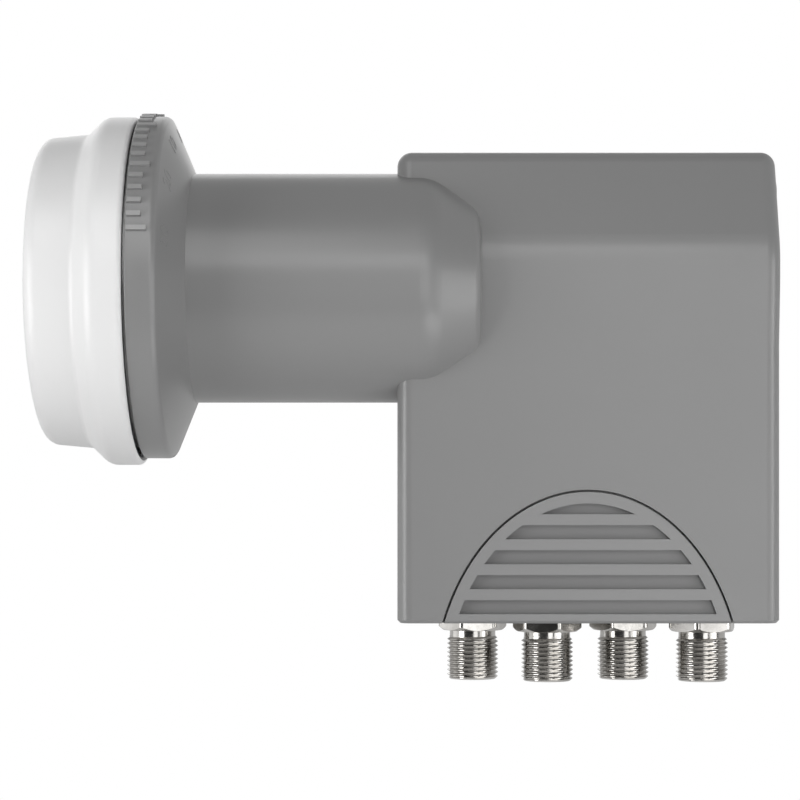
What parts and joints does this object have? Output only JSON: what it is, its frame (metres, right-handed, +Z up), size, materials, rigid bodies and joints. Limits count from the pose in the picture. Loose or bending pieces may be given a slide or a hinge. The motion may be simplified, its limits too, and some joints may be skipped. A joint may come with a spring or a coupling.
{
  "type": "satellite receiver head (low-noise block) with clamp neck and threaded outputs",
  "caption": "Grey moulded satellite receiver head with a white horn cap, a round clamp neck, threaded outputs and a pull-down weather sleeve.",
  "frame": {"origin": "on the neck's axis, half way along the clamp neck", "axes": "+X along the neck from the horn to the box, +Z up with the outputs pointing down, -Y towards the viewer of the picture"},
  "size_m": [0.1269, 0.0625, 0.0998],
  "materials": {
    "shell_grey": "satin moulded plastic",
    "cap_white": "semi-gloss moulded plastic",
    "cast_metal": "as die-cast",
    "seal_black": "matte",
    "plated_nickel": "bright nickel plate",
    "insulator_white": "matte",
    "contact_gold": "plated",
    "board_green": "solder mask",
    "chip_black": "matte",
    "sheet_tin": "tinned",
    "puck_ceramic": "matte"
  },
  "bodies": {
    "shell": {"front_shroud": "shell_grey", "rear_cover": "shell_grey", "horn_cap": "cap_white", "horn_casting": "cast_metal", "chamber_casting": "cast_metal", "near_lid": "cast_metal", "far_lid": "cast_metal", "cap_seal": "seal_black", "near_gasket": "seal_black", "far_gasket": "seal_black", "output_seal_1": "seal_black", "output_seal_2": "seal_black", "output_seal_3": "seal_black", "output_seal_4": "seal_black", "output_body_1": "plated_nickel", "output_body_2": "plated_nickel", "output_body_3": "plated_nickel", "output_body_4": "plated_nickel", "tuning_screws": "plated_nickel", "lid_screws": "plated_nickel", "board_screws": "plated_nickel", "output_insulator_1": "insulator_white", "output_insulator_2": "insulator_white", "output_insulator_3": "insulator_white", "output_insulator_4": "insulator_white", "probe_beads": "insulator_white", "output_contact_1": "contact_gold", "output_contact_2": "contact_gold", "output_contact_3": "contact_gold", "output_contact_4": "contact_gold", "straight_probe": "contact_gold", "bent_probe": "contact_gold", "isolation_pin": "contact_gold", "near_board": "board_green", "far_board": "board_green", "front_end_transistors": "chip_black", "mixer_chips": "chip_black", "switch_chip": "chip_black", "regulators": "chip_black", "shield_fence": "sheet_tin", "smoothing_capacitors": "sheet_tin", "low_band_puck": "puck_ceramic", "high_band_puck": "puck_ceramic"},
    "weather_sleeve": {"weather_slider": "shell_grey"}
  },
  "joints": [
    {"name": "weather_sleeve_slide", "type": "slide", "parent": "shell", "child": "weather_sleeve", "axis": [0, 0, -1], "range_m": [0, 0.025]}
  ]
}
